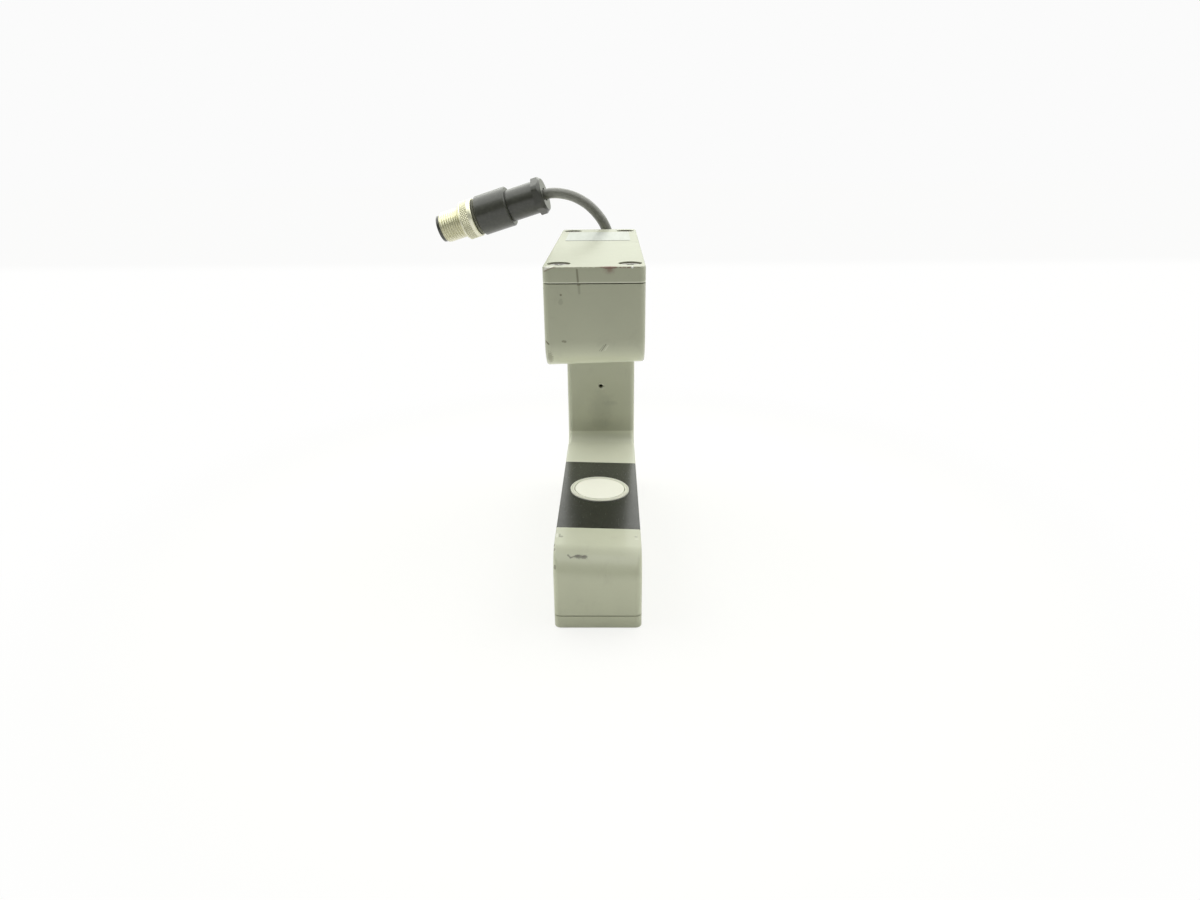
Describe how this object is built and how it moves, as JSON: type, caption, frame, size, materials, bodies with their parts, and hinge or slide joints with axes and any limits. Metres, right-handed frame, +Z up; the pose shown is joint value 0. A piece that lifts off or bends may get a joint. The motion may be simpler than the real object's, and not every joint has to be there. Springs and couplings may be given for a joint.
{
  "type": "ultrasonic edge sensor",
  "caption": "Fork-shaped ultrasonic sensor: a cast yoke with a transmitter and a receiver facing each other across the gap, screwed covers, and a short cable with a round screw plug.",
  "frame": {"origin": "middle of the base, on the surface that the lower cover stands on", "axes": "+X across the fork, +Y from the open end of the fork to its column, +Z up"},
  "size_m": [0.0804, 0.1235, 0.1329],
  "materials": {
    "casting_paint": "semi-matt grey-green lacquer",
    "cover_paint": "semi-matt grey-green lacquer",
    "gasket_rubber": "matt",
    "screw_steel": "zinc plated",
    "black_plate": "glossy black",
    "case_plastic": "satin dark grey",
    "white_face": "matt off-white",
    "ceramic": "satin ceramic",
    "damping_foam": "matt",
    "lead_insulation": "satin",
    "retainer_metal": "turned",
    "board_laminate": "green solder mask",
    "chip_black": "matt",
    "cable_jacket": "satin jacket",
    "plug_plastic": "fine matt",
    "ring_nickel": "nickel plated, knurled",
    "pin_gold": "gold plated",
    "wire_copper": "insulated copper"
  },
  "bodies": {
    "sensor": {"yoke_casting": "casting_paint", "upper_cover": "cover_paint", "lower_cover": "cover_paint", "upper_cover_gasket": "gasket_rubber", "lower_cover_gasket": "gasket_rubber", "upper_cover_screws": "screw_steel", "lower_cover_screws": "screw_steel", "upper_face_plate": "black_plate", "lower_face_plate": "black_plate", "receiver_case": "case_plastic", "receiver_face": "white_face", "receiver_piezo": "ceramic", "receiver_backing": "damping_foam", "receiver_leads": "lead_insulation", "receiver_seal": "gasket_rubber", "receiver_retainer": "retainer_metal", "transmitter_case": "case_plastic", "transmitter_face": "white_face", "transmitter_piezo": "ceramic", "transmitter_backing": "damping_foam", "transmitter_leads": "lead_insulation", "transmitter_seal": "gasket_rubber", "transmitter_retainer": "retainer_metal", "main_board": "board_laminate", "main_board_parts": "chip_black", "main_board_screws": "screw_steel", "transmitter_board": "board_laminate", "transmitter_board_parts": "chip_black", "transmitter_board_screws": "screw_steel", "link_cable": "cable_jacket", "cable_tail": "cable_jacket", "cable_gland": "plug_plastic", "gland_seal": "gasket_rubber", "cable": "cable_jacket", "contact_carrier": "plug_plastic", "contact_pins": "pin_gold", "plug_seal": "gasket_rubber", "plug_grip": "plug_plastic", "plug_wires": "wire_copper", "plug_cable_end": "cable_jacket", "clamp_bush": "gasket_rubber", "clamp_nut": "plug_plastic"},
    "plug_ring": {"coupling_ring": "ring_nickel"}
  },
  "joints": [
    {"name": "ring_turn", "type": "hinge", "parent": "sensor", "child": "plug_ring", "pos_m": [-0.0565, 0.05514, 0.11554], "axis": [0.9495, -0.1048, 0.2957], "continuous": true}
  ]
}
